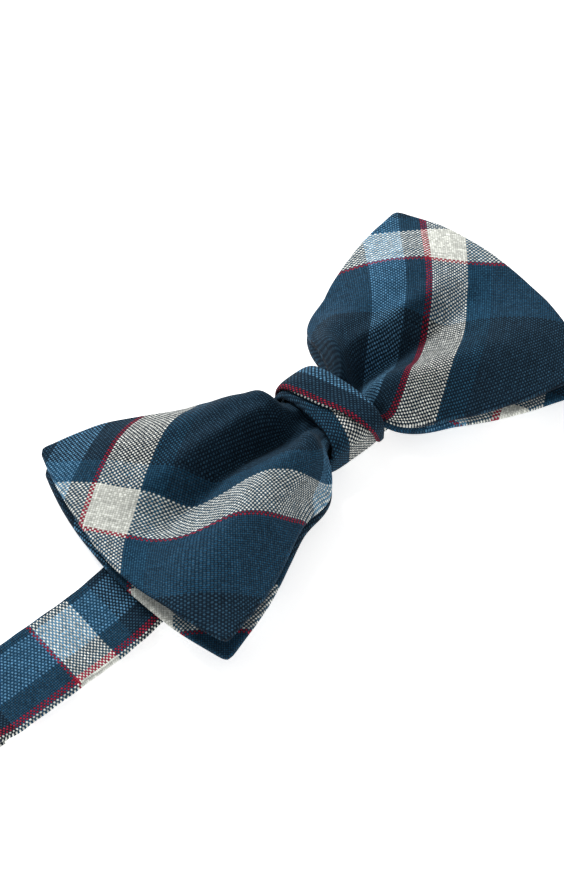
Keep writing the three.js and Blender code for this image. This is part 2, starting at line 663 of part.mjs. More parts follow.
// Slider: outer bars over the band, a middle bar under it, and bowed rails that join them.
const sliderBarZ = (tailZ + upperRunZ) / 2 - SLIDER_BAR_DROP;
const outerBarZ = upperRunZ + halfThickness + GAP + SHEET_METAL / 2;
const halfSlider = SLIDER_LENGTH / 2;
const outerBarX = halfSlider - RAIL / 2;
const railProfile = [
  [-halfSlider, outerBarZ + halfSheet],
  [-halfSlider, outerBarZ - halfSheet],
  [-halfSlider + RAIL, outerBarZ - halfSheet],
  [-0.9, sliderBarZ - halfSheet],
  [0.9, sliderBarZ - halfSheet],
  [halfSlider - RAIL, outerBarZ - halfSheet],
  [halfSlider, outerBarZ - halfSheet],
  [halfSlider, outerBarZ + halfSheet],
  [halfSlider - RAIL - 0.5, outerBarZ + halfSheet],
  [0.6, sliderBarZ + halfSheet + 0.3],
  [-0.6, sliderBarZ + halfSheet + 0.3],
  [-halfSlider + RAIL + 0.5, outerBarZ + halfSheet],
];
const outerBar = (x) =>
  box(x - RAIL / 2, x + RAIL / 2, -railOutside, railOutside, outerBarZ - halfSheet, outerBarZ + halfSheet);
const slider = piece(
  "band_slider",
  joined([
    profilePlate(railProfile, railInside, railOutside),
    profilePlate(railProfile, -railOutside, -railInside),
    outerBar(outerBarX),
    outerBar(-outerBarX),
    roundBar(0, sliderBarZ, SLIDER_BAR, 2 * railInside + RAIL),
  ]),
  plated,
);
slider.position.set(SLIDER_X, hardwareY, 0);

// Tab: the band's skived end, turned round the slider's middle bar and sewn down on the tail.
const tabRadius = (SLIDER_BAR + TAB_CLOTH) / 2 + 0.25;
const tabLine = new THREE.Path();
tabLine.moveTo(-TAB_TURN_UNDER, sliderBarZ - tabRadius);
tabLine.lineTo(0, sliderBarZ - tabRadius);
tabLine.absarc(0, sliderBarZ, tabRadius, -Math.PI / 2, Math.PI / 2, false);
tabLine.lineTo(-TAB_LENGTH, sliderBarZ + tabRadius);
const tabStrip = bentStrip(tabLine.getPoints(5), halfBand - TAB_SIDE_INSET, TAB_CLOTH / 2);
const tab = piece("slider_tab", tabStrip, cottonNavy);
tab.position.copy(slider.position);

// Sewn bars: one holds the tab to the tail, one holds the hem behind the eye.
const sewnBar = () => new THREE.CapsuleGeometry(SEAM_THREAD / 2, BAND_WIDTH * 0.7, 3, 8);
const tabSeam = piece("slider_tab_seam", sewnBar(), thread);
const tabUnderside = sliderBarZ + tabRadius - TAB_CLOTH / 2;
tabSeam.position.set(SLIDER_X - TAB_SEAM, hardwareY, (BAND_THICKNESS + tabUnderside) / 2);
const hemSeam = piece("eye_hem_seam", sewnBar(), thread);
hemSeam.position.set(EYE_BAR_X + HEM_SEAM, hardwareY, eyeRunZ + halfThickness + GAP + SEAM_THREAD / 2);

export default bowTie;
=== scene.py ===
"""Pre-tied bow tie in woven plaid cotton, lying on its back with its neckband swept to one side."""
import json
import math

import bpy
import numpy as np
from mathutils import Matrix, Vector


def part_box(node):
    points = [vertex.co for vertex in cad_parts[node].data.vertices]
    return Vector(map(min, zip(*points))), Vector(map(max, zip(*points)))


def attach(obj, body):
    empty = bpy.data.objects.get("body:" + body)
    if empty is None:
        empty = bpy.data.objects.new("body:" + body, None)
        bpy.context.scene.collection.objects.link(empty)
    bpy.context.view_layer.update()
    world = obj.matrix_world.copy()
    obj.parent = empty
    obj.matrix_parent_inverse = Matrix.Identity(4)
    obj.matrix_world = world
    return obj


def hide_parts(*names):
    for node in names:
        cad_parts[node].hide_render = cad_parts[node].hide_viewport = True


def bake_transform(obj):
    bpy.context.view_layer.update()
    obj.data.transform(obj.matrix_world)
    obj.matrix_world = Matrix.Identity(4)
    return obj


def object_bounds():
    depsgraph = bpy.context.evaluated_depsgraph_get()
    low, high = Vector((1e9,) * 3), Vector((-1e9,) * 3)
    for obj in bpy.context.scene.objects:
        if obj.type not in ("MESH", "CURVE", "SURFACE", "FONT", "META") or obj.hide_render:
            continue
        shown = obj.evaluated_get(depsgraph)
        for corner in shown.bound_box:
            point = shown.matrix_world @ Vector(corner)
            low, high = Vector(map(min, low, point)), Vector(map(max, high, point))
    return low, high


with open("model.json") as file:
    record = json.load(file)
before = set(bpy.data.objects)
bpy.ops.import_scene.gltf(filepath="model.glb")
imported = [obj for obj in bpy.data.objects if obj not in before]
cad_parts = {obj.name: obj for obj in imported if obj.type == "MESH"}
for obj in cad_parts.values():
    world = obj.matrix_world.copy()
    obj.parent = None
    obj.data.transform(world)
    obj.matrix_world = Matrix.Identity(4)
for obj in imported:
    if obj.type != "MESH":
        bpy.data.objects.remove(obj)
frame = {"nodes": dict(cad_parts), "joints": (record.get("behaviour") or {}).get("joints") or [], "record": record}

cad_bounds = [list(corner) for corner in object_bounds()]
MM = 0.001
JOINTS = {joint["name"]: joint for joint in frame["joints"]}


def box_mm(node):
    low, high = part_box(node)
    return np.array(low) / MM, np.array(high) / MM


# ---- sizes, in millimetres ----------------------------------------------------------------

band_high = box_mm("neckband_sleeve")[1]
wrap_low, wrap_high = box_mm("knot_wrap")
slider_low, slider_high = box_mm("band_slider")
eye_pivot = np.array(JOINTS["eye_tilt"]["pos_m"]) / MM
hook_pivot = np.array(JOINTS["hook_tilt"]["pos_m"]) / MM

GAP = 0.3
BAND_THICKNESS = 1.5
BAND_WIDTH = 20.0
SWAY = float(eye_pivot[1])
SWAY_START, SWAY_END = -22.0, -78.0
TUNNEL_HALF_LENGTH = 18.0
RAMP_LENGTH = 14.0
KNOT_CENTRE_Y = float((wrap_low[1] + wrap_high[1]) / 2)
KNOT_WIDTH = float(wrap_high[0] - wrap_low[0])
WRAP_CLOTH = 1.0
OVERLAP_CLOTH = 0.8
WIRE = 1.3
HOOK_BAR = 1.5
RAIL = 1.4
RAIL_INSIDE = BAND_WIDTH / 2 + 0.6
RAIL_OUTSIDE = RAIL_INSIDE + RAIL
SHEET_METAL = 1.0
EYE_LENGTH = 9.5
SLIDER_X = float((slider_low[0] + slider_high[0]) / 2)
THREAD = 0.4
THREAD_PITCH = 1.2
PADDING = 0.4
TAB_CLOTH = 0.8

HALF_BAND = BAND_THICKNESS / 2
UPPER_BAND_Z = BAND_THICKNESS + GAP + HALF_BAND
WRAP_BOTTOM_Z = float(wrap_low[2])
TUNNEL_Z = WRAP_BOTTOM_Z + WRAP_CLOTH + GAP + HALF_BAND
TUNNEL_TOP_Z = TUNNEL_Z + HALF_BAND
BLADE_HALF = 0.85
REAR_SEAT_Z = TUNNEL_TOP_Z + THREAD + 0.54 + BLADE_HALF
FRONT_SEAT_Z = REAR_SEAT_Z + 2 * BLADE_HALF + 0.4
TURN_RADIUS = (BAND_THICKNESS + WIRE) / 2 + GAP
HOOK_TURN_RADIUS = (BAND_THICKNESS + HOOK_BAR) / 2 + GAP + 0.05
UPPER_RUN_Z = HALF_BAND + 2 * HOOK_TURN_RADIUS
EYE_RUN_Z = UPPER_BAND_Z + 2 * TURN_RADIUS


# ---- shader maths -------------------------------------------------------------------------

class Shade:
    """A value or colour on its way to the shader. Sums on it become Math nodes."""

    def __init__(self, paint, socket):
        self.paint = paint
        self.socket = socket

    def calc(self, operation, *others):
        values = dict(enumerate([self, *others]))
        return self.paint.node("ShaderNodeMath", {"operation": operation}, values)

    def __add__(self, other):
        return self.calc("ADD", other)

    def __mul__(self, other):
        return self.calc("MULTIPLY", other)

    def __sub__(self, other):
        return self.calc("SUBTRACT", other)

    def __truediv__(self, other):
        return self.calc("DIVIDE", other)

    def __rsub__(self, other):
        return self * -1 + other

    __radd__ = __add__
    __rmul__ = __mul__

    def floor(self):
        return self.calc("FLOOR")

    def fract(self):
        return self.calc("FRACT")

    def cosine(self):
        return self.calc("COSINE")

    def above(self, edge):
        return self.calc("GREATER_THAN", edge)

    def clamped(self):
        return self.calc("MAXIMUM", 0).calc("MINIMUM", 1)


class Paint:
    """One material and the nodes it is mixed from."""

    def __init__(self, name):
        self.material = bpy.data.materials.new(name)
        self.material.use_nodes = True
        self.tree = self.material.node_tree
        self.surface = self.tree.nodes["Principled BSDF"]

    def node(self, kind, settings=None, values=None, out=0):
        made = self.tree.nodes.new(kind)
        for name, value in (settings or {}).items():
            if name == "stops":
                self.stops(made.color_ramp, value)
            else:
                setattr(made, name, value)
        for key, value in (values or {}).items():
            self.feed(made.inputs[key], value)
        return Shade(self, made.outputs[out])

    def stops(self, ramp, stops):
        ramp.interpolation = "CONSTANT"
        while len(ramp.elements) < len(stops):
            ramp.elements.new(1)
        for element, (position, yarn) in zip(ramp.elements, stops):
            element.position = position
        for element, (position, yarn) in zip(ramp.elements, stops):
            element.color = yarn

    def feed(self, socket, value):
        if isinstance(value, Shade):
            self.tree.links.new(value.socket, socket)
        else:
            socket.default_value = value

    def finish(self, **inputs):
        for name, value in inputs.items():
            self.feed(self.surface.inputs[name.replace("_", " ")], value)
        return self.material

    def split(self, vector):
        return [self.node("ShaderNodeSeparateXYZ", values={0: vector}, out=axis) for axis in range(3)]

    def vector(self, x, y, z=0.0):
        return self.node("ShaderNodeCombineXYZ", values={0: x, 1: y, 2: z})

    def noise(self, where, scale, detail=2.0):
        return self.node("ShaderNodeTexNoise", values={"Vector": where, "Scale": scale, "Detail": detail})

    def mix(self, factor, first, second, blend="MIX"):
        return self.node(
            "ShaderNodeMix", {"data_type": "RGBA", "blend_type": blend},
            {0: factor, 6: first, 7: second}, out=2)

    def bump(self, height, strength, distance):
        return self.node(
            "ShaderNodeBump", values={"Height": height, "Strength": strength, "Distance": distance})


def colour(code):
    """Linear colour of an sRGB hex code."""
    channels = [int(code[k:k + 2], 16) / 255 for k in (0, 2, 4)]
    linear = [c / 12.92 if c < 0.04045 else ((c + 0.055) / 1.055) ** 2.4 for c in channels]
    return (*linear, 1.0)


# ---- the plaid ----------------------------------------------------------------------------

WARP_PITCH = 0.46
WEFT_PITCH = 0.55
WARP_REPEAT = 87.5
WARP_RED = -39.3
WEFT_REPEAT = 73.9
WEFT_RED = -25.0

# Stripe widths across each repeat, starting at the middle of the red line.
RED_HALF = 0.65
WARP_STRIPES = [
    (RED_HALF, "red"), (10.6, "white"), (16.5, "blue"), (70.5, "navy"), (86.85, "mid"), (87.5, "red"),
]
WEFT_STRIPES = [
    (RED_HALF, "red"), (5.2, "navy"), (14.2, "light"), (57.6, "navy"), (63.3, "blue"),
    (73.25, "white"), (73.9, "red"),
]
WARP_YARN = {
    "red": colour("a02a42"), "white": colour("eef0e9"), "blue": colour("1f4b66"),
    "mid": colour("1f4a66"), "navy": colour("122839"),
}
WEFT_YARN = {
    "red": colour("a02a42"), "white": colour("eef0e9"), "blue": colour("2c5771"),
    "light": colour("5c8eb0"), "navy": colour("2e4d62"),
}


def stripes(paint, where, first, repeat, bands, yarn):
    stops = []
    start = 0.0
    for end, name in bands:
        stops.append((start / repeat, yarn[name]))
        start = end
    share = ((where - first) / repeat).fract()
    return paint.node("ShaderNodeValToRGB", {"stops": stops}, {0: share})


def plaid_cotton():
    paint = Paint("plaid_cotton")
    cloth = paint.node("ShaderNodeAttribute", {"attribute_name": "cloth"}, out="Vector")
    a, b, _ = paint.split(cloth)
    drift = paint.noise(cloth, 0.12)
    tremble = paint.noise(cloth, 1.6)
    a = a + (drift - 0.5) * 0.5 + (tremble - 0.5) * 0.3
    b = b + (drift - 0.5) * 0.4 - (tremble - 0.5) * 0.3
    warp = a / WARP_PITCH
    weft = b / WEFT_PITCH
    warp_number, weft_number = warp.floor(), weft.floor()
    warp_side = (warp - warp_number - 0.5) * math.pi
    weft_side = (weft - weft_number - 0.5) * math.pi
    warp_on_top = ((warp_number + weft_number) / 2).fract().above(0.25)

    warp_round, weft_round = warp_side.cosine(), weft_side.cosine()
    warp_float = warp_round * (weft_round * 0.5 + 0.5)
    weft_float = weft_round * (warp_round * 0.5 + 0.5)
    height = warp_float * warp_on_top + weft_float * (1 - warp_on_top)
    # Painted shade: thread_face is the share of each cell where the thread's crown shows; elsewhere the darker gap
    # colour shows.
    thread_face = ((height - 0.3) * 2.6).clamped() * 0.75 + 0.25

    warp_place = (warp_number + 0.5) * WARP_PITCH
    weft_place = (weft_number + 0.5) * WEFT_PITCH
    warp_colour = stripes(paint, warp_place, WARP_RED, WARP_REPEAT, WARP_STRIPES, WARP_YARN)
    weft_colour = stripes(paint, weft_place, WEFT_RED, WEFT_REPEAT, WEFT_STRIPES, WEFT_YARN)
    over = paint.mix(warp_on_top, weft_colour, warp_colour)
    # Between the thread crowns the warp and weft colours are multiplied: the neighbour yarn's own colour, darkened
    # as painted shade in the gaps.
    gap_colour_and_shade = paint.mix(1.0, warp_colour, weft_colour, "MULTIPLY")
    woven = paint.mix(thread_face, gap_colour_and_shade, over)

    speck = paint.node("ShaderNodeTexWhiteNoise", values={"Vector": paint.vector(warp_number, weft_number)})
    slub = paint.noise(paint.vector(warp_number * 0.9, b * 0.15), 1.0)
    slub_across = paint.noise(paint.vector(a * 0.15, weft_number * 0.9), 1.0)
    yarn_tone = slub * warp_on_top + slub_across * (1 - warp_on_top)
    # Painted shade: each thread is lighter on its crown and darker at its sides; the slub and speck terms are the
    # yarn's own random tone.
    thread_shade_and_tone = (height * 0.35 + 0.7) * (yarn_tone * 1.2 + 0.4) * (speck * 0.5 + 0.76)
    shaded = paint.mix(1.0, woven, paint.vector(thread_shade_and_tone, thread_shade_and_tone, thread_shade_and_tone), "MULTIPLY")
    return paint.finish(
        Base_Color=shaded,
        Roughness=0.92,
        Sheen_Weight=0.02,
        Sheen_Roughness=0.5,
        Specular_IOR_Level=0.12,
        Normal=paint.bump(height, 0.5, 0.1 * MM),
    )


def interlining_felt():
    paint = Paint("interlining")
    spot = paint.node("ShaderNodeNewGeometry", out="Position")
    fibre = paint.noise(spot, 900, 6)
    return paint.finish(
        Base_Color=paint.mix(fibre, colour("cfcabd"), colour("efece2")),
        Roughness=0.95,
        Normal=paint.bump(fibre, 0.5, 0.1 * MM),
    )


def sewing_thread():
    paint = Paint("sewing_thread")
    spot = paint.node("ShaderNodeNewGeometry", out="Position")
    x, y, z = paint.split(spot)
    ply = ((x + y + z) * (2 * math.pi / (0.35 * MM))).cosine() * 0.5 + 0.5
    return paint.finish(
        Base_Color=paint.mix(ply, colour("0d1428"), colour("2c3a5e")),
        Roughness=0.55,
        Sheen_Weight=0.2,
        Normal=paint.bump(ply, 0.5, 0.08 * MM),
    )


def nickel_plate():
    paint = Paint("plated_metal")
    spot = paint.node("ShaderNodeNewGeometry", out="Position")
    x, y, z = paint.split(spot)
    brushed = paint.noise(paint.vector(x * 400, y * 4000, z * 4000), 1.0, 4)
    cloud = paint.noise(spot, 180)
    return paint.finish(
        Base_Color=paint.mix(cloud, colour("94969a"), colour("b4b4b5")),
        Metallic=1.0,
        Roughness=brushed * 0.16 + cloud * 0.12 + 0.14,
        Normal=paint.bump(brushed, 0.12, 0.03 * MM),
    )


def backdrop():
    paint = Paint("floor")
    spot = paint.node("ShaderNodeNewGeometry", out="Position")
    grain = paint.noise(spot, 60)
    return paint.finish(
        Base_Color=paint.mix(grain, colour("f4f4f4"), colour("f9f9f9")),
        Roughness=0.8,
        Emission_Color=(1, 1, 1, 1),
        Emission_Strength=0.7,
    )


MATERIALS = {
    "plaid_cotton": plaid_cotton(),
    "interlining": interlining_felt(),
    "sewing_thread": sewing_thread(),
    "plated_metal": nickel_plate(),
}
for entry in frame["record"]["subparts"]:
    node = frame["nodes"][entry["node"]]
    node.data.materials.clear()
    node.data.materials.append(MATERIALS[entry["material_slot"]])


# ---- meshes -------------------------------------------------------------------------------

def make_piece(name, points, faces, slot, body, replaced, cloth=None):
    """A mesh in metres from points in millimetres, riding on a body in place of CAD nodes."""
    mesh = bpy.data.meshes.new(name)
    mesh.from_pydata((np.asarray(points) * MM).tolist(), [], faces)
    mesh.validate()
    for polygon in mesh.polygons:
        polygon.use_smooth = len(polygon.vertices) < 5
    if cloth is not None:
        attribute = mesh.attributes.new("cloth", "FLOAT_VECTOR", "POINT")
        flat = np.column_stack([cloth, np.zeros(len(cloth))]).astype(np.float32)
        attribute.data.foreach_set("vector", flat.ravel())
    mesh.materials.append(MATERIALS[slot])
    piece = bpy.data.objects.new(name, mesh)
    bpy.context.scene.collection.objects.link(piece)
    if body:
        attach(piece, body)
    if replaced:
        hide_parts(*replaced)
    return piece


def pillow(top, under):
    """Points and faces of a closed sheet. The two grids meet along their shared outline."""
    rows, cols = top.shape[:2]
    number = np.arange(rows * cols).reshape(rows, cols)
    below = np.zeros((rows, cols), int)
    inner = np.ones((rows, cols), bool)
    inner[0, :] = inner[-1, :] = inner[:, 0] = inner[:, -1] = False
    below[inner] = rows * cols + np.arange(inner.sum())
    below[~inner] = number[~inner]
    points = np.vstack([top.reshape(-1, 3), under[inner]])

    def quads(grid):
        corners = [grid[:-1, :-1], grid[1:, :-1], grid[1:, 1:], grid[:-1, 1:]]
        return np.stack(corners, axis=-1).reshape(-1, 4)

    faces = [list(map(int, quad)) for quad in np.vstack([quads(number), quads(below)[:, ::-1]])]
    return points, faces, inner


def edge_profile(distance, radius):
    """Share of full thickness at a distance inside a folded edge."""
    inside = np.clip(distance / radius, 0, 1)
    return np.sqrt(1 - (1 - inside) ** 2)


def crowded(count, power=0.6):
    """Steps from -1 to 1 that crowd towards both ends."""
    t = np.linspace(-1, 1, count)
    return np.sin(t * math.pi / 2) * (1 - power) + t * power


def smooth(t):
    t = np.clip(t, 0, 1)
    return t * t * (3 - 2 * t)


def swell(x, height, middle, width):
    """A soft rise of one height round a middle."""
    return height * np.exp(-((x - middle) / width) ** 2)


def through(knots, values, x):
    """Cubic curve through knots, each value with the slope of its neighbours."""
    knots = np.asarray(knots, float)
    values = np.asarray(values, float)
    steps = np.diff(knots)
    rises = np.diff(values, axis=0) / steps.reshape(-1, *[1] * (values.ndim - 1))
    slopes = np.empty_like(values)
    slopes[0], slopes[-1] = rises[0], rises[-1]
    for k in range(1, len(knots) - 1):
        before, after = steps[k - 1], steps[k]
        slopes[k] = (after * rises[k - 1] + before * rises[k]) / (before + after)
    k = np.clip(np.searchsorted(knots, x, side="right") - 1, 0, len(knots) - 2)
    h = steps[k]
    t = (x - knots[k]) / h
    shape = (-1, *[1] * (values.ndim - 1))
    t, h = t.reshape(shape), h.reshape(shape)
    s = t * t * (3 - 2 * t)
    leave = t * (1 - t) ** 2 * h * slopes[k]
    arrive = t * t * (t - 1) * h * slopes[k + 1]
    return values[k] * (1 - s) + values[k + 1] * s + leave + arrive


def ring(radius, sides=14):
    angles = np.arange(sides) / sides * 2 * math.pi
    return radius * np.column_stack([np.cos(angles), np.sin(angles)])


def softened_bar(width, height, softness):
    """Section of a flat bar with rounded corners, as sideways and upward points."""
    corners = [(1, 1, 0), (-1, 1, 1), (-1, -1, 2), (1, -1, 3)]
    points = []
    for x_sign, y_sign, quarter in corners:
        for k in range(4):
            angle = (quarter + k / 3) * math.pi / 2
            x = x_sign * (width / 2 - softness) + softness * math.cos(angle)
            y = y_sign * (height / 2 - softness) + softness * math.sin(angle)
            points.append((x, y))
    return np.array(points)


def sweep(path, section, up=(0, 0, 1), closed=False):
    """Points and faces of a bar of one section along a path."""
    path = np.asarray(path, float)
    count, sides = len(path), len(section)
    ahead = np.roll(path, -1, 0) - np.roll(path, 1, 0)
    if not closed:
        ahead[0], ahead[-1] = path[1] - path[0], path[-1] - path[-2]
    side = np.cross(ahead, up)
    side /= np.linalg.norm(side, axis=1, keepdims=True)
    above = np.cross(side, ahead)
    above /= np.linalg.norm(above, axis=1, keepdims=True)
    rings = path[:, None] + side[:, None] * section[None, :, :1] + above[:, None] * section[None, :, 1:]
    faces = []
    for k in range(count if closed else count - 1):
        near, far = k * sides, ((k + 1) % count) * sides
        for j in range(sides):
            n = (j + 1) % sides
            faces.append([near + j, far + j, far + n, near + n])
    if not closed:
        faces.append(list(range(sides)))
        faces.append([(count - 1) * sides + j for j in range(sides)][::-1])
    return rings.reshape(-1, 3), faces


def stamped(outline, thickness, softness):
    """Points and faces of a flat plate with rounded edges, from its outline drawn anticlockwise."""
    outline = np.asarray(outline, float)
    edge = np.roll(outline, -1, 0) - outline
    edge /= np.linalg.norm(edge, axis=1, keepdims=True)
    inward = np.column_stack([-edge[:, 1], edge[:, 0]])
    before = np.roll(inward, 1, 0)
    mitre = (inward + before) / (1 + (inward * before).sum(axis=1, keepdims=True))
    rings = []
    for sign, start in ((-1, -90), (1, 0)):
        for degrees in (0, 30, 60, 90):
            angle = math.radians(start + degrees)
            height = sign * (thickness / 2 - softness) + softness * math.sin(angle)
            flat = outline + mitre * softness * (1 - math.cos(angle))
            rings.append(np.column_stack([flat, np.full(len(flat), height)]))
    sides = len(outline)
    faces = [list(range(sides))[::-1], [(len(rings) - 1) * sides + j for j in range(sides)]]
    for k in range(len(rings) - 1):
        near, far = k * sides, (k + 1) * sides
        for j in range(sides):
            n = (j + 1) % sides
            faces.append([near + j, near + n, far + n, far + j])
    return np.vstack(rings), faces


def tilted(points, drop, pivot):
    """Local points turned down about Y by an angle, then moved to a pivot."""
    x, y, z = np.asarray(points, float).T
    turned = [x * math.cos(drop) - z * math.sin(drop), y, x * math.sin(drop) + z * math.cos(drop)]
    return np.column_stack(turned) + pivot


def zigzag(start, end, swing, turns, dip):
    """Path of a thread that crosses a line from side to side and dips at each turn."""
    start, end, swing = np.array(start), np.array(end), np.array(swing)
    t = np.linspace(0, turns, turns * 16 + 1)[:, None]
    side = 4 * np.abs(t - np.floor(t + 0.5)) - 1
    path = start + (end - start) * t / turns + swing * side
    path[:, 2:] -= dip * np.abs(side) ** 4
    return path


def gathered(parts):
    """Several closed shells as one list of points and faces."""
    points, faces, start = [], [], 0
    for part_points, part_faces in parts:
        points.append(part_points)
        faces += [[start + k for k in face] for face in part_faces]
        start += len(part_points)
    return np.vstack(points), faces


# ---- blades -------------------------------------------------------------------------------

FOLD_LINES = [-1, -0.55, 0, 0.55, 1]
ALONG = [0, 0.13, 0.2, 0.45, 0.72, 1]
WING_HALF_HEIGHT = 34.0
PINCH = 8.4 / WING_HALF_HEIGHT
PINCH_SHARES = np.array([-1, -0.58, 0, 0.58, 1]) * PINCH

LEFT_WING = {
    "side": -1, "reach": 59.0, "belly": 5.9, "flat_belly": 4.9,
    "y": [
        PINCH_SHARES,
        PINCH_SHARES * 1.14,
        [-0.45, -0.24, 0.02, 0.275, 0.465],
        [-0.625, -0.3, 0.04, 0.41, 0.69],
        [-0.85, -0.45, 0, 0.515, 0.895],
        [-1, -0.575, 0, 0.58, 1.005],
    ],
    "out": [0, (KNOT_WIDTH / 2 + GAP) / 59.0, 0.2, 0.445, 0.715, 1],
}
RIGHT_WING = {
    "side": 1, "reach": 55.0, "belly": 8.0, "flat_belly": 5.5,
    "y": [
        PINCH_SHARES,
        PINCH_SHARES * 1.05,
        [-0.385, -0.19, 0.035, 0.3, 0.52],
        [-0.625, -0.315, 0.035, 0.41, 0.78],
        [-0.845, -0.47, -0.01, 0.475, 0.94],
        [-1, -0.575, 0, 0.57, 1.025],
    ],
    "out": [0, (KNOT_WIDTH / 2 + GAP) / 55.0, 0.2, 0.425, 0.7, 1],
}
FRONT_RISES = {
    -1: [
        [0.2, 1.9, 0, 1.9, 0.2],
        [0.2, 3, -0.1, 3, 0.2],
        [-0.7, 7.4, -0.6, 6.9, -0.8],
        [1, 9.6, 1.2, 8.3, 0.8],
        [1.4, 7.3, -0.7, 6.6, 3],
        [3.4, 3.9, 0.8, 4, 4],
    ],
    1: [
        [0.2, 1.9, 0, 1.9, 0.2],
        [0.2, 3, -0.1, 3, 0.2],
        [-0.6, 7.4, -0.8, 6.8, -0.4],
        [-0.4, 8, 0.1, 7.2, 2.1],
        [1.2, 7.1, 2.2, 7.8, 3.8],
        [3.5, 5, 4.9, 5.5, 4.5],
    ],
}
REAR_RISE = [
    [0.2, 1.8, 0, 1.8, 0.2],
    [0.2, 2.8, -0.1, 2.8, 0.2],
    [-0.8, 5.4, -0.5, 5.2, -0.8],
    [-1.5, 4.5, -0.6, 4.5, -1.5],
    [-2, 1.1, -0.7, 1.1, -2],
    [-2.4, -1.6, -1.8, -1.6, -2.4],
]
REAR_RISES = {-1: REAR_RISE, 1: REAR_RISE}

FLAT_PINCH_HALF = 25.0
FLAT_TIP_HALF = 34.6
FLAT_REACH = 61.0
EDGE_ROLL = 0.9
CORNER = 2.2
EDGE_SPREAD = 9.0


def wing_surface(wing, rises, seat, along, across):
    """Middle surface of one wing at matching arrays of along (0 to 1) and across (-1 to 1)."""
    def loft(rows):
        by_line = through(FOLD_LINES, np.asarray(rows, float).T, across.ravel())
        weights = through(ALONG, np.eye(len(ALONG)), along.ravel())
        return (by_line * weights).sum(axis=1).reshape(along.shape)

    out = through(ALONG, wing["out"], along.ravel()).reshape(along.shape)
    belly = wing["belly"] * along ** 1.5 * (1 - across ** 2)
    x = wing["side"] * (wing["reach"] * out + belly)
    return np.stack([x, loft(wing["y"]) * WING_HALF_HEIGHT, seat + loft(rises)], axis=-1)


def cloth_place(wing, along, across, eased):
    """Where a point of the wing lies in the flat cloth. The wings are cut on the bias."""
    half = FLAT_PINCH_HALF + (FLAT_TIP_HALF - FLAT_PINCH_HALF) * along
    s = wing["side"] * (FLAT_REACH * along + wing["flat_belly"] * along ** 2 * (1 - across ** 2))
    t = half * across
    a, b = (s + t) / math.sqrt(2), (t - s) / math.sqrt(2)
    if not eased:
        return a, b
    if wing["side"] < 0:
        skew = smooth((b - 15) / 20) * np.clip(0.22 * a + 3.4, -5.5, 3)
        rolled = smooth((-across - 0.72) / 0.2) * (1 - smooth((along - 0.3) / 0.25))
        return a, b + skew - 7.8 * rolled
    return a + 0.1 * np.clip(b + 25, 0, 35), b


def rounded_corners(along, across):
    """Draws the grid's outer corners in to a small radius."""
    size_along, size_across = CORNER / FLAT_REACH, CORNER / FLAT_TIP_HALF
    p = np.clip((along - (1 - size_along)) / size_along, 0, 1)
    q = np.clip((np.abs(across) - (1 - size_across)) / size_across, 0, 1)
    along = along + size_along * (p * np.sqrt(1 - q * q / 2) - p)
    across = across + np.sign(across) * size_across * (q * np.sqrt(1 - p * p / 2) - q)
    return along, across


def cloth_ripple(x, y, phase):
    """Slight unevenness of pressed cotton, in millimetres."""
    return (
        0.16 * np.sin(x * 0.21 + 1.3 * np.sin(y * 0.13 + phase))
        + 0.12 * np.sin(y * 0.34 + 0.9 * np.sin(x * 0.17) + 2 * phase)
        + 0.05 * np.sin(x * 0.83 + y * 0.57 + 3 * phase)
    )


def gather_ripple(along, across, phase):
    """Small pleats that fan out of the knot and die away."""
    fade = swell(along, 1, 0.17, 0.16) * (along > 0.05)
    return 0.35 * fade * np.sin(across * 17 + phase + 5 * along) * (1 - across ** 2)


def mouth_fullness(side, along, across):
    """The cloth swells where it leaves the knot, so that it fills the wrap's mouth."""
    fill = smooth(np.abs(across) / 0.6)
    if side > 0:
        fill = fill * smooth((across + 0.3) / 0.6)
    return fill * (swell(along, 1.2, 0.12, 0.05) + swell(along, 3.0, 0.18, 0.045))


def pleat_shoulder(along, across):
    """The upper pleat is full along its top and drops steeply into the valley beside it."""
    reach = smooth((along - 0.12) / 0.15) * smooth((0.95 - along) / 0.4)
    return reach * (swell(across, 3.0, 0.27, 0.12) - swell(across, 1.7, 0.03, 0.08))


def blade(name, rises, seat, shifts, eased, phase, replaced):
    steps_out = 150
    steps_across = 150
    half = np.sin(np.linspace(0, math.pi / 2, steps_out)) * 0.35 + np.linspace(0, 1, steps_out) * 0.65
    across_line = crowded(steps_across)
    tops, unders, cloths = [], [], []
    for wing in (LEFT_WING, RIGHT_WING):
        along, across = np.meshgrid(half, across_line, indexing="ij")
        inside_out = (1 - along) * FLAT_REACH
        inside_across = (1 - np.abs(across)) * (FLAT_PINCH_HALF + EDGE_SPREAD * along)
        thick = edge_profile(np.minimum(inside_out, inside_across), EDGE_ROLL)
        along, across = rounded_corners(along, across)
        middle = wing_surface(wing, rises[wing["side"]], seat, along, across)
        middle[..., 2] += cloth_ripple(middle[..., 0], middle[..., 1], phase) * smooth(along * 4 - 0.6)
        middle[..., 2] += gather_ripple(along, across, phase)
        if eased:
            middle[..., 2] += mouth_fullness(wing["side"], along, across)
            middle[..., 2] += pleat_shoulder(along, across)
        lift = np.zeros_like(middle)
        lift[..., 2] = thick * BLADE_HALF
        a, b = cloth_place(wing, along, across, eased)
        shift = shifts[wing["side"]]
        grids = [middle + lift, middle - lift, np.stack([a + shift[0], b + shift[1]], axis=-1)]
        if wing["side"] < 0:
            grids = [grid[::-1] for grid in grids]
        else:
            grids = [grid[1:] for grid in grids]
        for store, grid in zip((tops, unders, cloths), grids):
            store.append(grid)
    top, under, cloth = (np.concatenate(parts) for parts in (tops, unders, cloths))
    points, faces, inner = pillow(top, under)
    all_cloth = np.vstack([cloth.reshape(-1, 2), cloth[inner]])
    piece = make_piece(name, points, faces, "plaid_cotton", "bow", replaced, all_cloth)
    return piece


